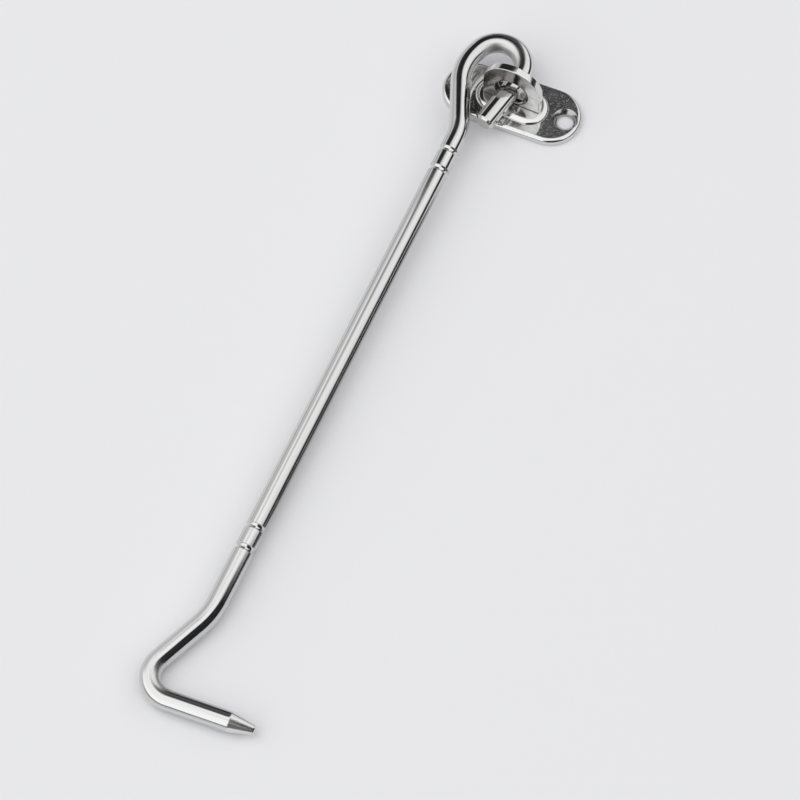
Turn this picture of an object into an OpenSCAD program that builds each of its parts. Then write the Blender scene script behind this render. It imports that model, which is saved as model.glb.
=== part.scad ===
// Hook and eye latch: a bent bar hook linked through the eye of a small screw plate.
// Millimetres, +Z up. Origin at the centre of the plate's back face, plate along X, hook towards -Y.

/* [Plate] */
// Length of the plate over its round ends
plate_len = 37; // [32:0.5:60]
// Width of the plate
plate_w = 16.3; // [13:0.1:24]
// Thickness of the plate
plate_t = 2; // [1.6:0.1:3]
// Radius of the rolled top edge
plate_edge_r = 1.1; // [0.3:0.1:1.4]
// Distance between the two screw holes
screw_spacing = 29; // [26:0.5:50]
// Through hole for the screw
screw_hole_d = 4.2; // [3:0.1:5]
// Mouth of the countersink
screw_head_d = 6.2; // [5.4:0.1:8]

/* [Eye] */
// Length of the oval foot, along the plate
foot_len = 19.5; // [18:0.1:22]
// Width of the oval foot
foot_w = 10; // [8:0.1:12]
// Height of the foot above the plate
foot_h = 0.9; // [0.8:0.1:1.8]
// Radius of the foot's rounded top edge
foot_edge_r = 0.7; // [0.3:0.1:0.7]
// Width of the upright lug
lug_w = 15.6; // [14:0.1:18]
// Thickness of the lug
lug_t = 2; // [1.8:0.1:3]
// Height of the lug's round crown above the plate
lug_h = 15.3; // [14:0.1:20]
// Diameter of the hole in the lug
eye_d = 8; // [7.4:0.1:9]
// Height of the hole's centre above the plate
eye_h = 5.6; // [5.4:0.1:8]
// Radius of the hole's rounded rim
rim_r = 0.7; // [0.3:0.1:0.8]
// Depth of the flat ground on the crown
crown_flat = 0.2; // [0.1:0.05:0.6]
// Sideways lean of that flat
crown_lean = 20; // [0:1:40]
// Turn of the eye on the plate, as it was riveted
eye_turn = -3.5; // [-8:0.5:8]
// Spigot that holds the eye in the plate
spigot_d = 6; // [4:0.1:7]
// Peened head of the spigot, at the plate's back
peen_d = 8; // [7.4:0.1:9]
// Gap round the spigot
spigot_gap = 0.05; // [0.02:0.01:0.1]

/* [Bar] */
// Diameter of the round bar
bar_d = 5.2; // [4:0.1:6]
// Centre line radius over the top of the loop
loop_r = 6.75; // [6:0.05:8]
// Centre line radius of the loop's long side
loop_side_r = 14; // [10:0.1:20]
// Offset of the loop's centre from the shaft
loop_offset = 1.15; // [0:0.05:2]
// Turn from the top of the loop to its long side
loop_turn = 69.5; // [40:0.5:80]
// Short straight between the loop's two curves
loop_straight = 0.8; // [0.6:0.1:3]
// Lean of the neck from the shaft
neck_lean = 22.5; // [15:0.1:30]
// Centre line radius where the neck meets the shaft
neck_bend_r = 13; // [6:0.5:20]
// Lean of the loop's free end from the shaft
stub_lean = 11.4; // [6:0.1:14]
// Length of the loop's straight free end
stub_len = 16; // [10:0.1:17]
// Chamfer on the free end
stub_chamfer = 0.6; // [0.2:0.1:1]
// Length of the shaft between its two bends
shaft_len = 143.2; // [60:0.1:260]
// Distance from the neck's bend to the first groove
neck_to_groove = 6.9; // [5:0.1:14]
// Distance between the two grooves of a pair
groove_pitch = 5.85; // [3:0.05:10]
// Distance from the last groove to the jog
groove_to_jog = 18.2; // [8:0.1:30]
// Depth of a groove
groove_depth = 0.45; // [0.2:0.05:0.8]
// Radius of the rounded groove cutter
groove_r = 0.9; // [0.8:0.05:1.5]

/* [Hook end] */
// Angle of the jog that carries the hook aside
jog_angle = 23; // [10:0.5:35]
// Length of the jog between its bend and the corner
jog_len = 26.1; // [22:0.1:40]
// Centre line radius of the jog's bend
jog_bend_r = 18.9; // [8:0.1:30]
// Centre line radius of the hook's corner
corner_r = 6; // [4:0.1:9]
// Length of the arm from the corner to its tip
arm_len = 32; // [27:0.1:45]
// Lean of the arm back towards the loop
arm_lean = 4.4; // [0:0.1:10]
// Length of the conical tip
cone_len = 6.2; // [3:0.1:9]
// Diameter of the tip's end
tip_d = 2.2; // [1:0.1:3.5]

/* [Rest pose] */
// Sideways place of the shaft where it passes the eye
shaft_side = 7.45; // [7:0.05:8.5]
// How far the loop's centre lies behind the eye
loop_behind = 5.6; // [5:0.05:7]
// How far the bar hangs below the hole's centre
bar_drop = 0.7; // [0:0.05:1]
// Swing of the hook away from square, as it lies on the table
rest_swing = -2.5; // [-5:0.1:5]

/* [Hidden] */
$fn = 48;
bar_r = bar_d / 2;
// A bar draws down a hair where it is bent, so each bend laps inside the runs it joins
bend_d = bar_d - 0.02;
bend_lap = 0.15;
steel = [0.77, 0.78, 0.79];

// Eye: heights above the plate's back, and the radius of the lug's round crown
eye_z = plate_t + eye_h;
eye_r = eye_d / 2;
crown_r = lug_w / 2;
crown_z = plate_t + lug_h - crown_r;
lug_sink = foot_h / 2;

// Bar: path in its own plane, with the loop's centre row at y = 0 and the shaft along x = 0
top_c = [loop_offset, 0];
side_c = top_c + (loop_r - loop_side_r) * [cos(90 + loop_turn), sin(90 + loop_turn)]
         - loop_straight * [cos(loop_turn), sin(loop_turn)];
neck_from = side_c + loop_side_r * [cos(180 + neck_lean), sin(180 + neck_lean)];
neck_len = -neck_from[0] / sin(neck_lean);
neck_cut = neck_bend_r * tan(neck_lean / 2);
neck_y = neck_from[1] - neck_len * cos(neck_lean);
jog_cut = jog_bend_r * tan(jog_angle / 2);
corner_turn = 90 + jog_angle + arm_lean;
corner_cut = corner_r * tan(corner_turn / 2);
corner_y = neck_y - shaft_len - jog_len * cos(jog_angle);
stub_end = [loop_offset + loop_r * cos(stub_lean) - stub_len * sin(stub_lean),
            -loop_r * sin(stub_lean) - stub_len * cos(stub_lean), 0];

// The bar hangs in the eye's hole and lies on the table at the corner
bar_z = eye_z - bar_drop;
bar_tilt = atan((bar_z - bar_r) / (-corner_y - loop_behind));
loop_z = bar_z + loop_behind * tan(bar_tilt);

// Plate outline with a rolled top edge, as two turned ends and a straight middle
module rolled_slab(length, width, height, edge_r) {
    for (side = [0, 180])
        rotate([0, 0, side])
            translate([(length - width) / 2, 0, 0])
                rotate([0, 0, -90])
                    rotate_extrude(angle = 180)
                        rolled_half(width / 2, height, edge_r);
    translate([-(length - width) / 2, 0, 0])
        rotate([90, 0, 90])
            linear_extrude(length - width) {
                rolled_half(width / 2, height, edge_r);
                mirror([1, 0]) rolled_half(width / 2, height, edge_r);
            }
}

module rolled_half(half, height, edge_r) {
    square([half - edge_r, height]);
    square([half, height - edge_r]);
    translate([half - edge_r, height - edge_r])
        intersection() {
            circle(edge_r);
            square(edge_r);
        }
}

module screw_hole() {
    sink = (screw_head_d - screw_hole_d) / 2;
    translate([0, 0, -1]) cylinder(d = screw_hole_d, h = plate_t + 2);
    translate([0, 0, plate_t - sink])
        cylinder(d1 = screw_hole_d, d2 = screw_head_d + 2, h = sink + 1);
}

// Spigot with its peened head, grown by the gap to make its seat in the plate
module spigot(gap) {
    head = (peen_d - spigot_d) / 2;
    translate([0, 0, -gap]) cylinder(d = spigot_d + 2 * gap, h = plate_t + foot_h / 2 + gap);
    translate([0, 0, -gap])
        cylinder(d1 = peen_d + 2 * gap, d2 = spigot_d + 2 * gap, h = head);
}

module base_plate() {
    color(steel) difference() {
        rolled_slab(plate_len, plate_w, plate_t, plate_edge_r);
        for (side = [-1, 1])
            translate([side * screw_spacing / 2, 0, 0]) screw_hole();
        spigot(spigot_gap);
    }
}

// Upright lug with a round crown and a flat ground on one side of it
module lug() {
    foot_top = plate_t + foot_h - lug_sink;
    difference() {
        union() {
            translate([0, 0, crown_z]) rotate([90, 0, 0]) cylinder(r = crown_r, h = lug_t, center = true);
            translate([-crown_r, -lug_t / 2, foot_top]) cube([lug_w, lug_t, crown_z - foot_top]);
        }
        translate([0, 0, crown_z])
            rotate([0, crown_lean, 0])
                translate([-crown_r, -lug_t, crown_r - crown_flat]) cube([lug_w, 2 * lug_t, crown_r]);
    }
}

// Round hole along Y, with a rounded rim on both faces of the lug
module eye_hole() {
    translate([0, 0, eye_z])
        rotate([90, 0, 0]) {
            cylinder(r = eye_r, h = 2 * lug_t, center = true);
            for (side = [0, 1])
                mirror([0, 0, side])
                    rotate_extrude()
                        difference() {
                            translate([0, lug_t / 2 - rim_r]) square([eye_r + rim_r, rim_r + 0.5]);
                            translate([eye_r + rim_r, lug_t / 2 - rim_r]) circle(rim_r);
                        }
        }
}

module eye() {
    color(steel) rotate([0, 0, eye_turn]) {
        translate([0, 0, plate_t]) rolled_slab(foot_len, foot_w, foot_h, foot_edge_r);
        spigot(0);
        difference() {
            lug();
            eye_hole();
        }
    }
}

// The bar is a chain of runs and bends in one plane, each along +Y from the end of the one before
module bar_run(length, end_d = bar_d) {
    rotate([-90, 0, 0]) cylinder(d1 = bar_d, d2 = end_d, h = length);
    translate([0, length, 0]) children();
}

module bend_left(radius, turn) {
    lap = bend_lap / radius * 180 / PI;
    translate([-radius, 0, 0]) {
        rotate([0, 0, -lap])
            rotate_extrude(angle = turn + 2 * lap) translate([radius, 0]) circle(d = bend_d);
        rotate([0, 0, turn]) translate([radius, 0, 0]) children();
    }
}

module bend_right(radius, turn) {
    mirror([1, 0, 0]) bend_left(radius, turn) mirror([1, 0, 0]) children();
}

// Rounded ring groove, cut across the bar
module groove(y) {
    translate([0, y, 0])
        rotate([90, 0, 0])
            rotate_extrude()
                translate([bar_r - groove_depth + groove_r, 0]) circle(groove_r);
}

module grooved_run(length) {
    difference() {
        bar_run(length);
        for (step = [0, 1]) {
            groove(neck_to_groove - neck_cut + step * groove_pitch);
            groove(length + jog_cut - groove_to_jog - step * groove_pitch);
        }
    }
    translate([0, length, 0]) children();
}

module tip() {
    rotate([-90, 0, 0]) cylinder(d1 = bar_d, d2 = tip_d, h = cone_len);
}

// Free end of the loop first, then the loop, neck, shaft, jog, corner and arm
module bar() {
    translate(stub_end)
        rotate([0, 0, -stub_lean]) {
            rotate([-90, 0, 0])
                cylinder(d1 = bar_d - 2 * stub_chamfer, d2 = bar_d, h = stub_chamfer);
            translate([0, stub_chamfer, 0])
                bar_run(stub_len - stub_chamfer)
                    bend_left(loop_r, 90 + loop_turn + stub_lean)
                        bar_run(loop_straight)
                            bend_left(loop_side_r, 90 - loop_turn + neck_lean)
                                bar_run(neck_len - neck_cut)
                                    bend_right(neck_bend_r, neck_lean)
                                        grooved_run(shaft_len - neck_cut - jog_cut)
                                            bend_right(jog_bend_r, jog_angle)
                                                bar_run(jog_len - jog_cut - corner_cut)
                                                    bend_left(corner_r, corner_turn)
                                                        bar_run(arm_len - corner_cut - cone_len)
                                                            tip();
        }
}

module hook_rod() {
    color(steel)
        translate([-shaft_side, loop_behind, loop_z])
            rotate([bar_tilt, 0, rest_swing]) bar();
}

base_plate();
eye();
hook_rod();
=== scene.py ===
import math

import bpy
import numpy as np
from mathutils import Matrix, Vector


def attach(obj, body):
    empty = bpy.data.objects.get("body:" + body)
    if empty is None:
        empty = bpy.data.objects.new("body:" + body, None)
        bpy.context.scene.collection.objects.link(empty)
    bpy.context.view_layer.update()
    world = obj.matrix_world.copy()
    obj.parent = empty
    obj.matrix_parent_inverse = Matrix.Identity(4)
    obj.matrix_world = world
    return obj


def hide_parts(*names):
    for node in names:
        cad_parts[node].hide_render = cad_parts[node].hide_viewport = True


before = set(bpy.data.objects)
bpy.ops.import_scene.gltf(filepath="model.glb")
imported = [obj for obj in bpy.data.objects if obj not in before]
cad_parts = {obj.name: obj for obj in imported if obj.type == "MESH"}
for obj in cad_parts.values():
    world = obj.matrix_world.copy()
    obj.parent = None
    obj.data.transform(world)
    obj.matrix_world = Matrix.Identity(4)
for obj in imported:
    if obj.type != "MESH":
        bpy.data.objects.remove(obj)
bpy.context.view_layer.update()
print("frame loaded:", sorted(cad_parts))

# Shapes are worked out in millimetres and degrees, and go into the meshes in metres
mm = 0.001
meshSet = {"mergeWithin": 2e-7, "dropUnder": 1e-8}  # metres


def sinD(angle):
    return math.sin(math.radians(angle))


def cosD(angle):
    return math.cos(math.radians(angle))


def tanD(angle):
    return math.tan(math.radians(angle))


# Unit vector in the XY plane, by its angle from +X towards +Y
def flatWay(angle):
    return np.array([cosD(angle), sinD(angle)])


# Matrix that turns points about Z
def turnAboutZ(angle):
    return np.array([[cosD(angle), -sinD(angle), 0], [sinD(angle), cosD(angle), 0], [0, 0, 1]])


# Rows of two coordinates, either of which may be one number for the whole run
def pairs(first, second):
    return np.column_stack(np.broadcast_arrays(first, second))


# Faces of a grid of closed rings: a quad joins a point, the next round its ring and that pair one ring on
def ringFaces(ringCount, ringSize):
    ring = np.arange(ringCount - 1)[:, None] * ringSize
    step = np.arange(ringSize)[None, :]
    ahead = (step + 1) % ringSize
    quads = np.stack([ring + step, ring + ahead, ring + ringSize + ahead, ring + ringSize + step], axis=-1)
    return quads.reshape(-1, 4)


# Fan of triangles from one middle point to a ring, turned so that it faces away from the body
def fanFaces(middle, ringStart, ringSize, turned):
    step = np.arange(ringSize)
    ahead = (step + 1) % ringSize
    pair = [ringStart + ahead, ringStart + step] if turned else [ringStart + step, ringStart + ahead]
    return np.stack([np.full(ringSize, middle), pair[0], pair[1]], axis=-1)


# Turns a shell of quads outwards: its volume, summed from signed tetrahedra, has to come out positive
def facedOut(points, faces):
    corner = points[faces]
    crossed = np.cross(corner[:, 1], corner[:, 2]) + np.cross(corner[:, 2], corner[:, 3])
    return faces if (corner[:, 0] * crossed).sum() > 0 else faces[:, ::-1]


# Joins shells of points and faces: the faces of each count on from the points of those before it
def joinShells(shells):
    starts = np.cumsum([0] + [len(points) for points, faces in shells])
    allPoints = np.concatenate([points for points, faces in shells])
    faceSets = [faces + start for (points, faces), start in zip(shells, starts)]
    return allPoints, faceSets


# Puts points and faces into a mesh, merges coincident points and, where asked, turns the faces outwards
def putPiece(name, points, faceSets, sharpDeg, attributes, turnOut=True):
    mesh = bpy.data.meshes.new(name)
    faces = [face for faceSet in faceSets for face in faceSet.tolist()]
    mesh.from_pydata((points * mm).tolist(), [], faces)
    for label, values in attributes.items():
        isVector = values.ndim == 2
        layer = mesh.attributes.new(label, "FLOAT_VECTOR" if isVector else "FLOAT", "POINT")
        layer.data.foreach_set("vector" if isVector else "value", values.astype(np.float32).ravel())
    piece = bpy.data.objects.new(name, mesh)
    bpy.context.scene.collection.objects.link(piece)
    bpy.context.view_layer.objects.active = piece
    bpy.ops.object.select_all(action="DESELECT")
    piece.select_set(True)
    bpy.ops.object.mode_set(mode="EDIT")
    bpy.ops.mesh.select_all(action="SELECT")
    bpy.ops.mesh.remove_doubles(threshold=meshSet["mergeWithin"])
    bpy.ops.mesh.dissolve_degenerate(threshold=meshSet["dropUnder"])
    if turnOut:
        bpy.ops.mesh.normals_make_consistent(inside=False)
    bpy.ops.object.mode_set(mode="OBJECT")
    mesh.polygons.foreach_set("use_smooth", np.ones(len(mesh.polygons), bool))
    mesh.set_sharp_from_angle(angle=math.radians(sharpDeg))
    mesh.update()
    return piece


# Camera: the azimuth is counted from -Y towards +X, and the focal length is in pixels of the image

cameraSet = {"azimuth": 21.947, "elevation": 63.66, "distance": 806.87, "focalPx": 3311.15,
             "target": (4.878, -88.381, 0.0), "imagePx": 800, "sensor": 36.0, "nearest": 10.0}

turn = math.radians(cameraSet["azimuth"])
rise = math.radians(cameraSet["elevation"])
backward = Vector((math.sin(turn) * math.cos(rise), -math.cos(turn) * math.cos(rise), math.sin(rise)))
cameraData = bpy.data.cameras.new("camera")
cameraData.sensor_width = cameraSet["sensor"]
cameraData.lens = cameraSet["focalPx"] / cameraSet["imagePx"] * cameraSet["sensor"]
cameraData.clip_start = cameraSet["nearest"] * mm
camera = bpy.data.objects.new("camera", cameraData)
bpy.context.scene.collection.objects.link(camera)
camera.location = (Vector(cameraSet["target"]) + backward * cameraSet["distance"]) * mm
camera.rotation_euler = (-backward).to_track_quat("-Z", "Y").to_euler()
bpy.context.scene.camera = camera
print("camera: lens", round(cameraData.lens, 2), "at", [round(value, 4) for value in camera.location])


# Bar: one round bar bent in a plane, from the free end of the loop to the conical tip

barSet = {"barR": 2.58, "loopR": 6.75, "loopSideR": 14.0, "loopOffset": 1.15, "loopTurn": 69.5,
          "loopStraight": 0.8, "neckLean": 22.5, "neckBendR": 13.0, "stubLean": 11.4, "stubLen": 16.0,
          "stubChamfer": 0.6, "shaftLen": 143.2, "neckToGroove": 6.9, "groovePitch": 5.85,
          "grooveToJog": 18.2, "grooveDepth": 0.45, "grooveR": 0.9, "jogAngle": 23.0, "jogLen": 26.1,
          "jogBendR": 18.9, "cornerR": 6.0, "armLen": 32.0, "armLean": 4.4, "coneLen": 6.2, "tipR": 1.1,
          "tipRound": 0.25,
          "shaftSide": 7.45, "loopBehind": 5.6, "barZ": 6.9, "restSwing": -2.5,
          # Easing of the bends, spread of the satin, and the curvature that counts as a full bend
          "bendBlend": 1.4, "satinBlend": 5.0, "fullBend": 0.17, "sharpDeg": 24,
          # How finely the bar is cut
          "pathStep": 0.02, "bendStep": 0.4, "bendLead": 2.0, "around": 72, "chamferRings": 9,
          "stubRings": 16, "shaftRings": 90, "grooveRings": 25, "grooveLips": (-1.25, -1.1, 1.1, 1.25),
          "armRings": 20, "coneRings": 40, "tipRings": 7, "stationDigits": 4}


# Runs and bends in order, each as its length and its turn in degrees, left positive.
# A bend cuts its radius times the tangent of half its turn off the straight on each side of it.
def barLegs(b):
    topC = np.array([b["loopOffset"], 0.0])
    sideC = topC + (b["loopR"] - b["loopSideR"]) * flatWay(90 + b["loopTurn"])
    sideC = sideC - b["loopStraight"] * flatWay(b["loopTurn"])
    neckFrom = sideC + b["loopSideR"] * flatWay(180 + b["neckLean"])
    neckLen = -neckFrom[0] / sinD(b["neckLean"])
    neckCut = b["neckBendR"] * tanD(b["neckLean"] / 2)
    neckY = neckFrom[1] - neckLen * cosD(b["neckLean"])
    jogCut = b["jogBendR"] * tanD(b["jogAngle"] / 2)
    cornerTurn = 90 + b["jogAngle"] + b["armLean"]
    cornerCut = b["cornerR"] * tanD(cornerTurn / 2)
    loopTurn = 90 + b["loopTurn"] + b["stubLean"]
    sideTurn = 90 - b["loopTurn"] + b["neckLean"]
    perDegree = math.pi / 180
    legs = [("stub", b["stubLen"], 0.0),
            ("loop", b["loopR"] * loopTurn * perDegree, loopTurn),
            ("loopStraight", b["loopStraight"], 0.0),
            ("loopSide", b["loopSideR"] * sideTurn * perDegree, sideTurn),
            ("neck", neckLen - neckCut, 0.0),
            ("neckBend", b["neckBendR"] * b["neckLean"] * perDegree, -b["neckLean"]),
            ("shaft", b["shaftLen"] - neckCut - jogCut, 0.0),
            ("jogBend", b["jogBendR"] * b["jogAngle"] * perDegree, -b["jogAngle"]),
            ("jog", b["jogLen"] - jogCut - cornerCut, 0.0),
            ("corner", b["cornerR"] * cornerTurn * perDegree, cornerTurn),
            ("arm", b["armLen"] - cornerCut - b["coneLen"], 0.0),
            ("cone", b["coneLen"], 0.0)]
    cornerY = neckY - b["shaftLen"] - b["jogLen"] * cosD(b["jogAngle"])
    return legs, neckY, neckCut, jogCut, cornerY


legs, neckY, neckCut, jogCut, cornerY = barLegs(barSet)
legEnds = np.cumsum([0.0] + [leg[1] for leg in legs])
legStart = {leg[0]: start for leg, start in zip(legs, legEnds)}
barLength = legEnds[-1]
fine = np.linspace(0.0, barLength, int(barLength / barSet["pathStep"]) + 1)
fineStep = fine[1] - fine[0]


# Running mean along the fine path, weighted by a bell of the given half width
def eased(values, halfWidth):
    window = np.hanning(int(2 * halfWidth / fineStep) | 1)
    return np.convolve(values, window / window.sum(), mode="same")


# Heading is the running sum of the curvature, which is eased over a short length at each end of a bend
legRate = np.array([math.radians(legTurn) / legLength for legName, legLength, legTurn in legs])
legOfPoint = np.clip(np.searchsorted(legEnds, fine, side="right") - 1, 0, len(legs) - 1)
curvature = eased(legRate[legOfPoint], barSet["bendBlend"])
heading = np.concatenate([[0.0], np.cumsum((curvature[1:] + curvature[:-1]) / 2 * fineStep)])

# The middle of the shaft heads along -Y of the bar's own plane, and everything is laid out from there
halfShaft = (barSet["shaftLen"] - neckCut - jogCut) / 2
middleIndex = int(round((legStart["shaft"] + halfShaft) / fineStep))
heading = heading - heading[middleIndex] + math.radians(-90.0)
stepX = (np.cos(heading[1:]) + np.cos(heading[:-1])) / 2 * fineStep
stepY = (np.sin(heading[1:]) + np.sin(heading[:-1])) / 2 * fineStep
pathX = np.concatenate([[0.0], np.cumsum(stepX)])
pathY = np.concatenate([[0.0], np.cumsum(stepY)])
pathX = pathX - pathX[middleIndex]
pathY = pathY - pathY[middleIndex] + neckY - neckCut - halfShaft

# Middles of the two pairs of ring grooves, counted from the neck and back from the jog
neckGroove = legStart["shaft"] + barSet["neckToGroove"] - neckCut
jogGroove = legStart["jogBend"] + jogCut - barSet["grooveToJog"]
pitch = barSet["groovePitch"]
grooveAt = np.array([neckGroove, neckGroove + pitch, jogGroove - pitch, jogGroove])

# Stations along the bar: wide apart on straights, close in bends, grooves and at both ends
grooveHalf = math.sqrt(barSet["grooveR"] ** 2 - (barSet["grooveR"] - barSet["grooveDepth"]) ** 2)
grooveStations = (grooveAt[:, None] + np.linspace(-grooveHalf, grooveHalf, barSet["grooveRings"])).ravel()
lipStations = (grooveAt[:, None] + np.array(barSet["grooveLips"]) * grooveHalf).ravel()
lead = barSet["bendLead"]
tipFrom = barLength - barSet["tipRound"]
stations = np.concatenate([
    np.linspace(0.0, barSet["stubChamfer"], barSet["chamferRings"]),
    np.linspace(barSet["stubChamfer"], legStart["loop"] - lead, barSet["stubRings"]),
    np.arange(legStart["loop"] - lead, legStart["shaft"] + lead, barSet["bendStep"]),
    np.linspace(legStart["shaft"] + lead, legStart["jogBend"] - lead, barSet["shaftRings"]),
    grooveStations,
    lipStations,
    np.arange(legStart["jogBend"] - lead, legStart["arm"] + lead, barSet["bendStep"]),
    np.linspace(legStart["arm"] + lead, legStart["cone"], barSet["armRings"]),
    np.linspace(legStart["cone"], tipFrom, barSet["coneRings"]),
    tipFrom + barSet["tipRound"] * np.sin(np.linspace(0, math.pi / 2, barSet["tipRings"]))])
stations = np.unique(np.round(stations, barSet["stationDigits"]))


# Radius along the bar: the full bar, less the chamfer, the ring grooves and the cone with its rounded tip
def barRadius(s, b):
    radius = np.minimum(b["barR"], b["barR"] - b["stubChamfer"] + s)
    offset = np.abs(s[:, None] - grooveAt[None, :]).min(axis=1)
    cut = np.sqrt(np.maximum(b["grooveR"] ** 2 - offset ** 2, 0.0)) - (b["grooveR"] - b["grooveDepth"])
    radius = np.where(offset < grooveHalf, b["barR"] - np.maximum(cut, 0.0), radius)
    along = np.clip((s - legStart["cone"]) / b["coneLen"], 0.0, 1.0)
    cone = b["barR"] + (b["tipR"] - b["barR"]) * along
    left = np.clip((barLength - s) / b["tipRound"], 0.0, 1.0)
    cone = cone - b["tipRound"] * (1 - np.sqrt(np.maximum(1 - (1 - left) ** 2, 0.0)))
    return np.where(s > legStart["cone"], cone, radius)


# Bar surface: a circle of the bar's radius carried along the bent path, tilted to rest on the table
def makeBar(b):
    count = len(stations)
    size = b["around"]
    centreX = np.interp(stations, fine, pathX)
    centreY = np.interp(stations, fine, pathY)
    angle = np.interp(stations, fine, heading)[:, None]
    radius = barRadius(stations, b)[:, None]
    phi = np.linspace(0, 2 * math.pi, size, endpoint=False)
    sideways = radius * np.cos(phi)
    upwards = radius * np.sin(phi)
    flatX = centreX[:, None] - np.sin(angle) * sideways
    flatY = centreY[:, None] + np.cos(angle) * sideways
    rings = np.stack([flatX, flatY, upwards], axis=-1).reshape(-1, 3)
    ends = np.array([[centreX[0], centreY[0], 0.0], [centreX[-1], centreY[-1], 0.0]])
    local = np.concatenate([rings, ends])
    # The bar falls from its height at the eye until the corner of the hook lies on the table
    tilt = math.degrees(math.atan((b["barZ"] - b["barR"]) / (-cornerY - b["loopBehind"])))
    loopZ = b["barZ"] + b["loopBehind"] * tanD(tilt)
    tiltX = np.array([[1, 0, 0], [0, cosD(tilt), -sinD(tilt)], [0, sinD(tilt), cosD(tilt)]])
    shift = np.array([-b["shaftSide"], b["loopBehind"], loopZ])
    points = local @ (turnAboutZ(b["restSwing"]) @ tiltX).T + shift
    faceSets = [ringFaces(count, size), fanFaces(count * size, 0, size, True),
                fanFaces(count * size + 1, (count - 1) * size, size, False)]
    # The bar's own space: sideways, upwards and the distance along the bar
    alongBar = np.repeat(stations[:, None], size, axis=1)
    space = np.stack([sideways, upwards, alongBar], axis=-1).reshape(-1, 3)
    space = np.concatenate([space, [[0, 0, 0], [0, 0, barLength]]]) * mm

    # Share of a full bend at each point of the rings, and none at the two end points
    def bendShare(bending):
        onRings = np.repeat(np.interp(stations, fine, bending), size)
        return np.concatenate([onRings / b["fullBend"], [0, 0]])

    # Satin is the bending again, spread wider along the bar so that it fades in
    bending = np.abs(curvature)
    attributes = {"barSpace": space, "bent": bendShare(bending),
                  "satin": bendShare(eased(bending, b["satinBlend"]))}
    return putPiece("hookBar", points, faceSets, b["sharpDeg"], attributes)


hookBar = makeBar(barSet)
print("bar:", len(stations), "rings,", round(barLength, 1), "mm of bar")


# Plate: a stamped plate with round ends, a rolled top edge, two countersunk holes and the seat of the eye

plateSet = {"length": 36.98, "width": 16.3, "thick": 2.0, "edgeR": 1.1, "spacing": 29.0, "holeR": 2.1,
            "headR": 3.1, "seatR": 3.05, "seatBackR": 4.05, "seatDeep": 1.0, "split": 7.25, "sunkDrop": 0.05,
            "sharpDeg": 30,
            # Small bevels at the countersink's rim, at its throat and at the hole's back
            "headLip": 0.12, "headIn": 0.02, "headDrop": 0.1, "throatOut": 0.06, "throatRise": 0.02,
            "throatDrop": 0.1, "backBevel": 0.1,
            # How finely the plate is cut: its rings crowd towards the rolled edge by this power
            "edgeCrowd": 2.4, "topRings": 34, "backRings": 5, "wallRings": 4, "endPoints": 97,
            "sidePoints": 9, "crossPoints": 61, "middlePoints": 49}


# Height of the plate's top: full inside, falling as a quarter circle within the edge radius of the outline
def plateTop(x, y, p):
    half = p["width"] / 2
    straight = p["length"] / 2 - half
    inset = half - np.hypot(np.maximum(np.abs(x) - straight, 0.0), y)
    near = np.clip(p["edgeR"] - inset, 0.0, p["edgeR"])
    return p["thick"] - (p["edgeR"] - np.sqrt(np.maximum(p["edgeR"] ** 2 - near ** 2, 0.0)))


# One cell of the plate: rings run from its outline over the top, down its hole and out along the back, each
# point on its own ray. A hole ring has a radius and a height. The others have a radius to start from and
# the share of the way from there to the outline.
def plateCell(outline, centre, rings, p):
    ray = outline - centre
    reach = np.hypot(ray[:, 0], ray[:, 1])
    unit = ray / reach[:, None]
    layers = []
    for kind, radius, place in rings:
        if kind == "hole":
            flat = centre + unit * radius
            height = np.full(len(flat), place)
        else:
            flat = centre + unit * (radius + (reach - radius) * place)[:, None]
            height = plateTop(flat[:, 0], flat[:, 1], p) if kind == "top" else np.zeros(len(flat))
        layers.append(np.column_stack([flat, height]))
    return np.concatenate(layers), ringFaces(len(rings), len(outline))


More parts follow.
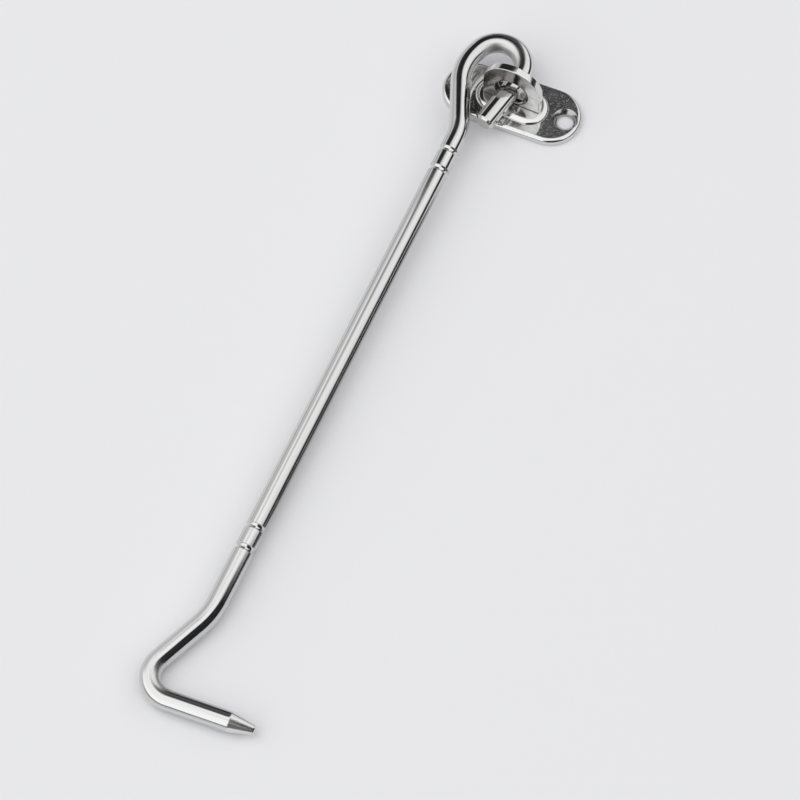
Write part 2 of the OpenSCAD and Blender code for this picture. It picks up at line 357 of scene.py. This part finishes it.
# Plate surface: a cell round each screw hole, one round the eye's seat, and a wall under the rolled edge
def makePlate(p):
    half = p["width"] / 2
    straight = p["length"] / 2 - half
    split = p["split"]
    bow = np.linspace(-math.pi / 2, math.pi / 2, p["endPoints"])
    endArc = np.column_stack([straight + half * np.cos(bow), half * np.sin(bow)])
    sideRun = np.linspace(split, straight, p["sidePoints"])[:-1]
    crossRun = np.linspace(-half, half, p["crossPoints"])
    middleRun = np.linspace(split, -split, p["middlePoints"])
    rightCell = np.concatenate([pairs(sideRun, -half), endArc, pairs(sideRun[::-1], half),
                                pairs(split, crossRun[::-1][1:-1])])
    middleCell = np.concatenate([pairs(split, crossRun[:-1]), pairs(middleRun[:-1], half),
                                 pairs(-split, crossRun[::-1][:-1]), pairs(middleRun[::-1][:-1], -half)])
    inwards = (1 - (1 - np.linspace(0.0, 1.0, p["topRings"])) ** p["edgeCrowd"])[::-1]
    outwards = np.linspace(0.0, 1.0, p["backRings"])[1:]
    throatZ = p["thick"] - (p["headR"] - p["holeR"])
    backR = p["holeR"] + p["backBevel"]
    screwRings = [("top", p["headR"] + p["headLip"], share) for share in inwards]
    screwRings += [("hole", p["headR"] - p["headIn"], p["thick"] - p["headDrop"]),
                   ("hole", p["holeR"] + p["throatOut"], throatZ + p["throatRise"]),
                   ("hole", p["holeR"], throatZ - p["throatDrop"]),
                   ("hole", p["holeR"], p["backBevel"]),
                   ("hole", backR, 0.0)]
    screwRings += [("base", backR, share) for share in outwards]
    seatRings = [("top", p["seatR"], share) for share in inwards]
    seatRings += [("hole", p["seatR"], p["seatDeep"]), ("hole", p["seatBackR"], 0.0)]
    seatRings += [("base", p["seatBackR"], share) for share in outwards]
    holeX = p["spacing"] / 2
    shells = [plateCell(rightCell, np.array([holeX, 0.0]), screwRings, p),
              plateCell(rightCell * [-1, 1], np.array([-holeX, 0.0]), screwRings, p),
              plateCell(middleCell, np.array([0.0, 0.0]), seatRings, p)]
    # Wall under the rolled edge, carried round the whole outline
    rim = np.concatenate([endArc, pairs(sideRun[::-1], half), pairs(middleRun[1:-1], half),
                          pairs(-sideRun, half), -endArc, pairs(-sideRun[::-1], -half),
                          pairs(middleRun[::-1][1:-1], -half), pairs(sideRun, -half)])
    levels = np.linspace(0.0, p["thick"] - p["edgeR"], p["wallRings"])
    wall = np.concatenate([np.column_stack([rim, np.full(len(rim), level)]) for level in levels])
    shells.append((wall, ringFaces(len(levels), len(rim))))
    points, faceSets = joinShells(shells)
    # Countersinks, which get a rougher finish and a painted shade: points within a screw head's circle and
    # below the face
    fromHole = np.hypot(np.abs(points[:, 0]) - holeX, points[:, 1])
    sunk = (fromHole < p["headR"]) & (points[:, 2] < p["thick"] - p["sunkDrop"])
    return putPiece("screwPlate", points, faceSets, p["sharpDeg"], {"sunk": sunk.astype(float)})


screwPlate = makePlate(plateSet)
print("plate:", len(screwPlate.data.polygons), "faces")


# Eye: an upright lug with a round hole on an oval foot, held by a spigot peened flush at the plate's back

eyeSet = {"plateT": 2.0, "footLen": 19.5, "footW": 10.0, "footH": 0.9, "footEdgeH": 0.88, "footEdgeW": 1.7,
          "lugW": 15.6, "lugT": 2.0, "lugH": 15.297, "eyeR": 4.0, "eyeH": 5.6, "rimR": 0.92, "edgeR": 0.22,
          "crownFlat": 0.2, "crownLean": 20.0, "eyeTurn": -3.5, "spigotR": 3.0, "spigotIn": 0.4,
          "peenR": 4.0, "peenFlat": 0.15, "peenEdge": 0.05, "sharpDeg": 30,
          # Painted shade on the faces: how it starts at the edges, how it fades to the right, which is
          # painted lighter, and the painted shadow in the crease at the foot
          "shadeFrom": 0.03, "shadeRise": 0.7, "shadeLostRight": 0.80, "shadeFade": 6.0, "footShade": 0.9,
          "footShadeRise": 0.5, "spigotShade": 0.6, "creaseShadowH": 0.35, "creaseShadowSoft": 0.6, "creaseShadowLevel": 2.0,
          # How finely the eye is cut
          "crownPoints": 121, "sidePoints": 31, "lowPoints": 41, "rollRings": 9, "faceRings": 12,
          "footPoints": 49, "footRollRings": 13, "footTopRings": 12, "spigotPoints": 64}


# Share of the painted shade that is left, which falls from the middle of the eye towards its right side, so
# that the right side is painted lighter
def paintedShadeLeft(x, e):
    return 1 - e["shadeLostRight"] * np.clip(x / e["shadeFade"], 0.0, 1.0)


# Outline of the lug seen along Y: a half circle over two straight sides, down to a line inside the foot
def lugOutline(e):
    half = e["lugW"] / 2
    crownZ = e["plateT"] + e["lugH"] - half
    low = e["plateT"] + e["footH"] / 2
    bow = np.linspace(0, math.pi, e["crownPoints"])
    crown = np.column_stack([half * np.cos(bow), crownZ + half * np.sin(bow)])
    side = np.linspace(low, crownZ, e["sidePoints"])[:-1]
    lowRun = np.linspace(-half, half, e["lowPoints"])[1:-1]
    x, z = np.concatenate([pairs(half, side), crown, pairs(-half, side[::-1]), pairs(lowRun, low)]).T
    # The ground flat: points past its leaning plane are brought back onto it
    lean = e["crownLean"]
    over = np.maximum(x * sinD(lean) + (z - crownZ) * cosD(lean) - (half - e["crownFlat"]), 0.0)
    return np.column_stack([x - over * sinD(lean), z - over * cosD(lean)])


# Lug: rays run from the hole to the outline, and the profile along each is rim, face, edge, face and rim
def lugShell(e):
    outline = lugOutline(e)
    centreZ = e["plateT"] + e["eyeH"]
    ray = outline - np.array([0.0, centreZ])
    reach = np.hypot(ray[:, 0], ray[:, 1])
    unit = ray / reach[:, None]
    half = e["lugT"] / 2
    roll = np.linspace(0, math.pi / 2, e["rollRings"])
    rimOut = e["eyeR"] + e["rimR"] * (1 - np.cos(roll))
    rimY = half - e["rimR"] + e["rimR"] * np.sin(roll)
    edgeOut = e["edgeR"] * np.sin(roll)
    edgeY = half - e["edgeR"] + e["edgeR"] * np.cos(roll)
    faceFrom = rimOut[-1]
    faceTo = reach - e["edgeR"]
    shares = np.linspace(0, 1, e["faceRings"])[1:-1]
    rows = [(np.full(len(reach), r), y) for r, y in zip(rimOut, rimY)]
    rows += [(faceFrom + (faceTo - faceFrom) * share, half) for share in shares]
    rows += [(faceTo + out, y) for out, y in zip(edgeOut, edgeY)]
    rows += [(r, -y) for r, y in rows[::-1]]
    rows.append(rows[0])
    layers = [np.column_stack([unit[:, 0] * r, np.full(len(reach), y), centreZ + unit[:, 1] * r])
              for r, y in rows]
    points = np.concatenate(layers)
    # Painted shade on the faces, growing in from the edges, and a painted shadow in the crease at the foot
    fromEdge = np.concatenate([reach - r for r, y in rows])
    paintedShade = np.clip((fromEdge - e["shadeFrom"]) / (e["edgeR"] * e["shadeRise"]), 0.0, 1.0)
    paintedShade = paintedShade * paintedShadeLeft(points[:, 0], e)
    creaseShadowTop = e["plateT"] + e["footH"] + e["creaseShadowH"]
    creaseShadow = np.clip((creaseShadowTop - points[:, 2]) / (e["creaseShadowH"] * e["creaseShadowSoft"]), 0.0, 1.0)
    return points, ringFaces(len(rows), len(reach)), paintedShade + creaseShadow * (e["creaseShadowLevel"] - paintedShade)


# Foot: rings that shrink from the oval outline to its middle line, over an edge of a quarter ellipse
def footShell(e):
    half = e["footW"] / 2
    straight = e["footLen"] / 2 - half
    bow = np.linspace(-math.pi / 2, math.pi / 2, e["footPoints"])
    rightEnd = np.column_stack([np.cos(bow), np.sin(bow)])
    outward = np.concatenate([rightEnd, -rightEnd])
    core = np.repeat([straight, -straight], len(bow))
    roll = np.linspace(0, math.pi / 2, e["footRollRings"])
    bevel = e["footH"] - e["footEdgeH"]
    topInsets = np.linspace(e["footEdgeW"], half, e["footTopRings"])[1:]
    insets = np.concatenate([[half, e["footEdgeW"], bevel], e["footEdgeW"] * (1 - np.cos(roll)), topInsets])
    heights = e["plateT"] + np.concatenate([[0.0, 0.0, 0.0], bevel + e["footEdgeH"] * np.sin(roll),
                                            np.full(len(topInsets), e["footH"])])
    x = core + (half - insets)[:, None] * outward[:, 0]
    y = (half - insets)[:, None] * outward[:, 1]
    z = np.repeat(heights[:, None], len(core), axis=1)
    # Painted shade on the foot's top, growing in from its rolled edge
    inner = np.clip((insets - e["footEdgeW"]) / e["footShadeRise"], 0.0, 1.0) * e["footShade"]
    paintedShade = inner[:, None] * paintedShadeLeft(x, e)
    return np.stack([x, y, z], axis=-1).reshape(-1, 3), ringFaces(len(insets), len(core)), paintedShade.ravel()


# Spigot: a turned profile of radius against height, closed at both poles
def spigotShell(e):
    top = e["plateT"] + e["spigotIn"]
    profile = np.array([[0.0, 0.0], [e["peenR"] - e["peenFlat"], 0.0],
                        [e["peenR"] - e["peenEdge"], e["peenEdge"]],
                        [e["spigotR"], e["peenR"] - e["spigotR"]], [e["spigotR"], top], [0.0, top]])
    phi = np.linspace(0, 2 * math.pi, e["spigotPoints"], endpoint=False)
    x = profile[:, :1] * np.cos(phi)
    y = profile[:, :1] * np.sin(phi)
    z = np.repeat(profile[:, 1:], len(phi), axis=1)
    points = np.stack([x, y, z], axis=-1).reshape(-1, 3)
    # Painted shade over the whole spigot
    return points, ringFaces(len(profile), len(phi)), np.full(len(points), e["spigotShade"])


# Eye surface: three closed shells, each turned outwards by itself, spun together on the plate
def makeEye(e):
    shells = [lugShell(e), footShell(e), spigotShell(e)]
    points, faceSets = joinShells([(corners, facedOut(corners, faces)) for corners, faces, paintedShade in shells])
    # The painted shade of the three shells goes into one attribute
    paintedShades = {"paintedShade": np.concatenate([paintedShade for corners, faces, paintedShade in shells])}
    return putPiece("lugEye", points @ turnAboutZ(e["eyeTurn"]).T, faceSets, e["sharpDeg"], paintedShades, False)


lugEye = makeEye(eyeSet)
print("eye:", len(lugEye.data.polygons), "faces")


# Materials

noiseRange = (0.3, 0.7)  # most values of a noise lie in here
wholeRange = (0.0, 1.0)


def nodeTree(name):
    material = bpy.data.materials.new(name)
    material.use_nodes = True
    tree = material.node_tree
    return material, tree, tree.nodes["Principled BSDF"]


# Adds a node: an input that is a socket is linked, and any other is set
def addNode(tree, kind, inputs=None, **settings):
    node = tree.nodes.new(kind)
    for key, value in settings.items():
        setattr(node, key, value)
    for key, value in (inputs or {}).items():
        if isinstance(value, bpy.types.NodeSocket):
            tree.links.new(value, node.inputs[key])
        else:
            node.inputs[key].default_value = value
    return node


def attributeOf(tree, name, output="Fac"):
    return addNode(tree, "ShaderNodeAttribute", attribute_name=name).outputs[output]


def objectPlace(tree):
    return addNode(tree, "ShaderNodeTexCoord").outputs["Object"]


# Straight map from a source range to a target range, held at both ends
def spreadTo(tree, value, target, source=noiseRange):
    bounds = {"From Min": source[0], "From Max": source[1], "To Min": target[0], "To Max": target[1]}
    return addNode(tree, "ShaderNodeMapRange", {"Value": value, **bounds}).outputs["Result"]


# Smooth step from 0 at the first bound to 1 at the second
def softStep(tree, value, low, high):
    node = addNode(tree, "ShaderNodeMapRange", {"Value": value, "From Min": low, "From Max": high},
                   interpolation_type="SMOOTHSTEP")
    return node.outputs["Result"]


def mathOf(tree, kind, first, second=0.0):
    return addNode(tree, "ShaderNodeMath", {0: first, 1: second}, operation=kind).outputs["Value"]


# Sum of two values, each times its own weight
def weighted(tree, first, firstWeight, second, secondWeight):
    return mathOf(tree, "ADD", mathOf(tree, "MULTIPLY", first, firstWeight),
                  mathOf(tree, "MULTIPLY", second, secondWeight))


# Noise with so many waves to the metre along each axis
def noiseOf(tree, place, stretch, detail):
    spot = addNode(tree, "ShaderNodeMapping", {"Vector": place, "Scale": stretch}).outputs["Vector"]
    noise = addNode(tree, "ShaderNodeTexNoise", {"Vector": spot, "Scale": 1.0, "Detail": detail})
    return noise.outputs["Fac"]


def mixValue(tree, share, first, second):
    return addNode(tree, "ShaderNodeMix", {"Factor": share, "A": first, "B": second}).outputs["Result"]


# Sockets go by number here, because a colour mix has several of one name
def mixColour(tree, share, first, second):
    return addNode(tree, "ShaderNodeMix", {0: share, 6: first, 7: second}, data_type="RGBA").outputs[2]


# Bare metal: colour, roughness and a bump whose height is counted in the given depth
def finishMetal(tree, shader, colour, rough, height, depth):
    tree.links.new(colour, shader.inputs["Base Color"])
    tree.links.new(rough, shader.inputs["Roughness"])
    bump = addNode(tree, "ShaderNodeBump", {"Height": height, "Strength": 1.0, "Distance": depth})
    tree.links.new(bump.outputs["Normal"], shader.inputs["Normal"])
    shader.inputs["Metallic"].default_value = 1.0


# Lengths in the material dictionaries are in metres, and a noise is its waves to the metre and its detail

barSteelSet = {"dark": (0.58, 0.58, 0.575, 1.0), "pale": (0.73, 0.73, 0.725, 1.0),
               "tintRange": (0.36, 0.60), "turnedColour": (0.76, 0.75, 0.745, 1.0),
               "straightRough": (0.07, 0.13), "bentRough": (0.07, 0.15), "innerRough": 0.36,
               "turnedRough": 0.11, "endRough": 0.42,
               "wideNoise": ((900.0, 900.0, 9.0), 1.0), "lineNoise": ((5200.0, 5200.0, 26.0), 3.0),
               "patchNoise": ((420.0, 420.0, 150.0), 4.0), "speckNoise": ((3800.0, 3800.0, 3800.0), 2.0),
               "wideTint": 0.6, "lineTint": 0.4, "wideDeep": 0.9, "lineDeep": 0.45, "bentDeep": 0.25,
               "speckDeep": (0.06, 0.45), "streak": 0.00002, "ring": 0.000004, "ringPitch": 0.00016,
               "bentMask": (0.05, 0.5), "satinMask": (0.25, 0.85), "innerMask": (-0.0003, 0.0018),
               "turnedSoft": 0.00005, "endMask": (0.00010, 0.00002)}


# Drawn and polished bar: draw streaks along it, fainter in the bends, and lathe rings on the cone
def makeBarSteel(m):
    material, tree, shader = nodeTree("polishedBar")
    space = attributeOf(tree, "barSpace", "Vector")
    axes = addNode(tree, "ShaderNodeSeparateXYZ", {"Vector": space}).outputs
    wide = noiseOf(tree, space, *m["wideNoise"])
    fineLines = noiseOf(tree, space, *m["lineNoise"])
    patch = noiseOf(tree, space, *m["patchNoise"])
    speck = noiseOf(tree, space, *m["speckNoise"])
    # Masks: the bends, the inner side of the tight ones, which is left satin, the cone and the tip's end
    bent = softStep(tree, attributeOf(tree, "bent"), *m["bentMask"])
    satin = softStep(tree, attributeOf(tree, "satin"), *m["satinMask"])
    inner = mathOf(tree, "MULTIPLY", softStep(tree, axes["X"], *m["innerMask"]), satin)
    coneFrom = legStart["cone"] * mm
    turned = softStep(tree, axes["Z"], coneFrom - m["turnedSoft"], coneFrom + m["turnedSoft"])
    barEnd = barLength * mm
    endFace = softStep(tree, axes["Z"], barEnd - m["endMask"][0], barEnd - m["endMask"][1])
    straightRough = spreadTo(tree, patch, m["straightRough"])
    rough = mixValue(tree, bent, straightRough, spreadTo(tree, patch, m["bentRough"]))
    rough = mixValue(tree, inner, rough, m["innerRough"])
    rough = mixValue(tree, turned, rough, m["turnedRough"])
    rough = mixValue(tree, endFace, rough, m["endRough"])
    tint = weighted(tree, wide, m["wideTint"], fineLines, m["lineTint"])
    colour = mixColour(tree, spreadTo(tree, tint, wholeRange, m["tintRange"]), m["dark"], m["pale"])
    colour = mixColour(tree, turned, colour, m["turnedColour"])
    # Height: streaks, then specks that are deeper in the satin, then rings, whose sine swings both ways
    streaks = weighted(tree, fineLines, m["lineDeep"], wide, m["wideDeep"])
    streaks = mathOf(tree, "MULTIPLY", streaks, spreadTo(tree, bent, (1.0, m["bentDeep"]), wholeRange))
    specks = mathOf(tree, "MULTIPLY", speck, spreadTo(tree, inner, m["speckDeep"], wholeRange))
    swing = mathOf(tree, "SINE", mathOf(tree, "MULTIPLY", axes["Z"], 2 * math.pi / m["ringPitch"]))
    rings = mathOf(tree, "MULTIPLY", swing, mathOf(tree, "MULTIPLY", turned, m["ring"] / m["streak"] / 2))
    height = mathOf(tree, "ADD", mathOf(tree, "ADD", streaks, specks), rings)
    finishMetal(tree, shader, colour, rough, height, m["streak"])
    return material


plateSteelSet = {"dark": (0.56, 0.56, 0.555, 1.0), "pale": (0.71, 0.71, 0.705, 1.0),
                 "sunkShadeColour": (0.44, 0.44, 0.435, 1.0), "roughness": (0.05, 0.13), "sunkRough": 0.16,
                 "waveNoise": ((85.0, 85.0, 85.0), 1.0), "cloudNoise": ((420.0, 420.0, 420.0), 4.0),
                 "pitNoise": ((3200.0, 3200.0, 3200.0), 2.0), "pitRange": (0.26, 0.38),
                 "pit": 0.000012, "wave": 0.00010}


# Stamped and polished plate: scattered pits, where the noise is low, a slow wave in the mirror face, and
# countersinks that are rougher and painted darker as shade
def makePlateSteel(m):
    material, tree, shader = nodeTree("polishedPlate")
    place = objectPlace(tree)
    wave = noiseOf(tree, place, *m["waveNoise"])
    cloud = noiseOf(tree, place, *m["cloudNoise"])
    pits = spreadTo(tree, noiseOf(tree, place, *m["pitNoise"]), wholeRange, m["pitRange"])
    sunk = attributeOf(tree, "sunk")
    rough = mixValue(tree, sunk, spreadTo(tree, cloud, m["roughness"]), m["sunkRough"])
    height = mathOf(tree, "ADD", mathOf(tree, "MULTIPLY", wave, m["wave"] / m["pit"]), pits)
    colour = mixColour(tree, pits, m["dark"], m["pale"])
    # Painted shade in the countersinks
    colour = mixColour(tree, sunk, colour, m["sunkShadeColour"])
    finishMetal(tree, shader, colour, rough, height, m["pit"])
    return material


# Bright bare steel, the colour of the painted shade on the faces, and a near-black painted crease shadow
eyeSteelSet = {"bright": (0.72, 0.72, 0.715, 1.0), "paintedShade": (0.24, 0.23, 0.22, 1.0),
               "creaseShadow": (0.03, 0.03, 0.03, 1.0), "roughness": (0.07, 0.17), "groundRough": 0.28,
               "waveNoise": ((130.0, 130.0, 130.0), 1.0), "cloudNoise": ((500.0, 500.0, 500.0), 4.0),
               "pitNoise": ((3300.0, 3300.0, 3300.0), 3.0), "groundNoise": ((4200.0, 300.0, 300.0), 2.0),
               "pit": 0.00001, "wave": 0.00006, "groundDeep": 2.0, "groundMask": (0.00004, 0.00002),
               "mottledShade": (-0.15, 0.15), "mottledShadeMask": (0.02, 0.3), "creaseShadowMask": (1.05, 2.0)}


# Eye steel: bright at its edges, a painted shade on its faces, a painted shadow in the crease at the foot
# and a ground flat on the crown
def makeEyeSteel(m, ground):
    material, tree, shader = nodeTree("polishedEye")
    place = objectPlace(tree)
    paintedShade = attributeOf(tree, "paintedShade")
    wave = noiseOf(tree, place, *m["waveNoise"])
    cloud = noiseOf(tree, place, *m["cloudNoise"])
    pits = noiseOf(tree, place, *m["pitNoise"])
    groundLines = noiseOf(tree, place, *m["groundNoise"])
    # The flat is where the height along its leaning normal reaches its level
    axes = addNode(tree, "ShaderNodeSeparateXYZ", {"Vector": place}).outputs
    up = weighted(tree, axes["X"], sinD(ground["lean"]), axes["Z"], cosD(ground["lean"]))
    onFlat = softStep(tree, up, ground["level"] - m["groundMask"][0], ground["level"] - m["groundMask"][1])
    rough = mixValue(tree, onFlat, spreadTo(tree, cloud, m["roughness"]), m["groundRough"])
    height = mathOf(tree, "ADD", mathOf(tree, "MULTIPLY", wave, m["wave"] / m["pit"]), pits)
    groundShare = mathOf(tree, "MULTIPLY", onFlat, m["groundDeep"])
    height = mathOf(tree, "ADD", height, mathOf(tree, "MULTIPLY", groundLines, groundShare))
    # Painted shade, mottled by the cloud noise
    mottledShade = mathOf(tree, "ADD", paintedShade, spreadTo(tree, cloud, m["mottledShade"]))
    mottledShade = mathOf(tree, "MULTIPLY", mottledShade, softStep(tree, paintedShade, *m["mottledShadeMask"]))
    colour = mixColour(tree, mottledShade, m["bright"], m["paintedShade"])
    # Painted shadow in the crease at the foot
    colour = mixColour(tree, softStep(tree, paintedShade, *m["creaseShadowMask"]), colour, m["creaseShadow"])
    finishMetal(tree, shader, colour, rough, height, m["pit"])
    return material


crownLevel = ((eyeSet["plateT"] + eyeSet["lugH"] - eyeSet["lugW"] / 2) * cosD(eyeSet["crownLean"])
              + eyeSet["lugW"] / 2 - eyeSet["crownFlat"]) * mm
crownGround = {"lean": eyeSet["crownLean"], "level": crownLevel}
hookBar.data.materials.append(makeBarSteel(barSteelSet))
screwPlate.data.materials.append(makePlateSteel(plateSteelSet))
lugEye.data.materials.append(makeEyeSteel(eyeSteelSet, crownGround))

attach(hookBar, "hook")
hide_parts("hook_rod")
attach(screwPlate, "base")
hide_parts("base_plate")
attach(lugEye, "base")
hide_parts("eye")
print("materials and rides set")


# Floor, lamp, cards and world, all in metres

stageSet = {"floorHalf": 6.0, "floorColour": (0.85, 0.85, 0.87, 1.0), "mattRough": 0.9,
            "lampAim": (0.0, -0.09, 0.0), "lampWay": (-172.0, 70.0), "lampFar": 1.0, "lampSize": 0.8,
            "lampWatt": 0.8}


# Unit vector from an azimuth counted from +X towards +Y and an elevation
def wayOf(azimuth, elevation):
    return Vector((cosD(elevation) * cosD(azimuth), cosD(elevation) * sinD(azimuth), sinD(elevation)))


# Flat sheet between two opposite corners, with a matt material of one colour
def putSheet(name, low, high, colour):
    mesh = bpy.data.meshes.new(name)
    corners = [(low[0], low[1], 0), (high[0], low[1], 0), (high[0], high[1], 0), (low[0], high[1], 0)]
    mesh.from_pydata(corners, [], [(0, 1, 2, 3)])
    sheet = bpy.data.objects.new(name, mesh)
    bpy.context.scene.collection.objects.link(sheet)
    material, tree, shader = nodeTree(name)
    shader.inputs["Base Color"].default_value = colour
    shader.inputs["Roughness"].default_value = stageSet["mattRough"]
    shader.inputs["Specular IOR Level"].default_value = 0.0
    mesh.materials.append(material)
    return sheet, tree, shader


# Floor, and one soft lamp that lights it and doesn't show in the metal
def makeStage(t):
    half = t["floorHalf"]
    floor = putSheet("floor", (-half, -half), (half, half), t["floorColour"])[0]
    lamp = bpy.data.lights.new("softLamp", "AREA")
    lamp.shape = "DISK"
    lamp.size = t["lampSize"]
    lamp.energy = t["lampWatt"]
    lampObject = bpy.data.objects.new("softLamp", lamp)
    lampObject.visible_glossy = False
    bpy.context.scene.collection.objects.link(lampObject)
    lampWay = wayOf(*t["lampWay"])
    lampObject.location = Vector(t["lampAim"]) + lampWay * t["lampFar"]
    lampObject.rotation_euler = lampWay.to_track_quat("Z", "Y").to_euler()


cardSet = {"colour": (0.03, 0.03, 0.03, 1.0),
           # Discs that face a point of the bar: sheet, clear rim and dark middle as shares of the radius
           "sheet": 1.1, "clear": 1.08, "dark": 0.74,
           "discs": [{"name": "loopCard", "near": (-0.007, 0.008, 0.007), "way": (140.0, 48.0),
                      "far": 0.085, "radius": 0.047},
                     {"name": "jogCard", "near": (-0.017, -0.165, 0.003), "way": (-13.0, 38.0),
                      "far": 0.12, "radius": 0.092}],
           # Low card that lies beside the shaft: clear at the shaft, dark further out, soft at both ends
           "shaft": {"name": "shaftCard", "middle": (-0.0112, -0.080, 0.0002), "turn": -2.5, "half": 0.058,
                     "fade": 0.014, "reach": 0.12, "darkAt": 0.019}}


# Dark studio card that shows only in the polished metal
def putCard(name, low, high):
    card, tree, shader = putSheet(name, low, high, cardSet["colour"])
    card.visible_camera = False
    card.visible_diffuse = False
    card.visible_shadow = False
    return card, tree, shader


# The card's alpha falls from its dark middle to its clear rim with the distance from its middle
def makeDiscCard(c):
    reach = c["radius"] * cardSet["sheet"]
    card, tree, shader = putCard(c["name"], (-reach, -reach), (reach, reach))
    cardWay = wayOf(*c["way"])
    card.location = Vector(c["near"]) + cardWay * c["far"]
    card.rotation_euler = (-cardWay).to_track_quat("Z", "Y").to_euler()
    out = addNode(tree, "ShaderNodeVectorMath", {0: objectPlace(tree)}, operation="LENGTH").outputs["Value"]
    share = softStep(tree, out, c["radius"] * cardSet["clear"], c["radius"] * cardSet["dark"])
    tree.links.new(share, shader.inputs["Alpha"])


# The card's alpha rises with the distance from the shaft, and falls towards the card's two ends
def makeShaftCard(c):
    card, tree, shader = putCard(c["name"], (0.0, -c["half"]), (c["reach"], c["half"]))
    card.location = c["middle"]
    card.rotation_euler = (0.0, 0.0, math.radians(c["turn"]))
    axes = addNode(tree, "ShaderNodeSeparateXYZ", {"Vector": objectPlace(tree)}).outputs
    inside = softStep(tree, mathOf(tree, "ABSOLUTE", axes["Y"]), c["half"], c["half"] - c["fade"])
    share = mathOf(tree, "MULTIPLY", softStep(tree, axes["X"], 0.0, c["darkAt"]), inside)
    tree.links.new(share, shader.inputs["Alpha"])


# A patch adds its amount round its way, from the first cosine of the angle off it to the second
worldSet = {"sky": 1.09, "low": 0.035, "edge": 0.10, "edgeSoft": 0.17,
            "skyPatches": [{"way": (-110.0, 40.0), "within": (0.2, 1.0), "amount": 0.17},
                           {"way": (155.0, 22.0), "within": (0.90, 0.985), "amount": -0.40}],
            "lowPatches": [{"way": (165.0, 0.0), "within": (0.55, 0.97), "amount": 0.50},
                           {"way": (-100.0, 0.0), "within": (0.3, 0.95), "amount": 0.12},
                           {"way": (100.0, 0.0), "within": (0.5, 0.95), "amount": 0.05}],
            "edgePatches": [{"way": (20.0, 0.0), "within": (0.4, 0.95), "amount": 0.22},
                            {"way": (-50.0, 0.0), "within": (0.75, 0.97), "amount": 0.50}],
            "ovals": [{"way": (110.0, 27.0), "wide": 22.0, "tall": 39.0, "soft": 0.18, "depth": 0.97},
                      {"way": (-58.0, 24.0), "wide": 24.0, "tall": 30.0, "soft": 0.2, "depth": 0.97}],
            "ovalFront": (0.0, 0.1)}


# World: a pale sky over a darker horizon of uneven height, with two dark ovals in it, as in a studio
def makeWorld(w):
    world = bpy.data.worlds.new("studio")
    bpy.context.scene.world = world
    world.use_nodes = True
    tree = world.node_tree
    back = tree.nodes["Background"]
    view = addNode(tree, "ShaderNodeTexCoord").outputs["Generated"]

    def along(way):
        product = addNode(tree, "ShaderNodeVectorMath", {0: view, 1: way}, operation="DOT_PRODUCT")
        return product.outputs["Value"]

    def patched(level, patches):
        for patch in patches:
            near = softStep(tree, along(wayOf(*patch["way"])), *patch["within"])
            level = mathOf(tree, "ADD", level, mathOf(tree, "MULTIPLY", near, patch["amount"]))
        return level

    edge = patched(w["edge"], w["edgePatches"])
    skyShare = softStep(tree, along((0.0, 0.0, 1.0)), edge, mathOf(tree, "ADD", edge, w["edgeSoft"]))
    for oval in w["ovals"]:
        middle = wayOf(*oval["way"])
        sideways = wayOf(oval["way"][0] + 90, 0)
        across = mathOf(tree, "DIVIDE", along(sideways), sinD(oval["wide"]))
        upright = mathOf(tree, "DIVIDE", along(middle.cross(sideways)), sinD(oval["tall"]))
        # Distance from the oval's middle, which is 1 on its outline
        far = mathOf(tree, "SQRT", weighted(tree, across, across, upright, upright))
        inside = mathOf(tree, "SUBTRACT", 1.0, softStep(tree, far, 1 - oval["soft"], 1 + oval["soft"]))
        inside = mathOf(tree, "MULTIPLY", inside, softStep(tree, along(middle), *w["ovalFront"]))
        kept = mathOf(tree, "SUBTRACT", 1.0, mathOf(tree, "MULTIPLY", inside, oval["depth"]))
        skyShare = mathOf(tree, "MULTIPLY", skyShare, kept)
    low = patched(w["low"], w["lowPatches"])
    sky = patched(w["sky"], w["skyPatches"])
    tree.links.new(mixValue(tree, skyShare, low, sky), back.inputs["Color"])


makeStage(stageSet)
for disc in cardSet["discs"]:
    makeDiscCard(disc)
makeShaftCard(cardSet["shaft"])
makeWorld(worldSet)
bpy.context.scene.view_settings.view_transform = "Standard"
print("floor, lamp, cards and world set")
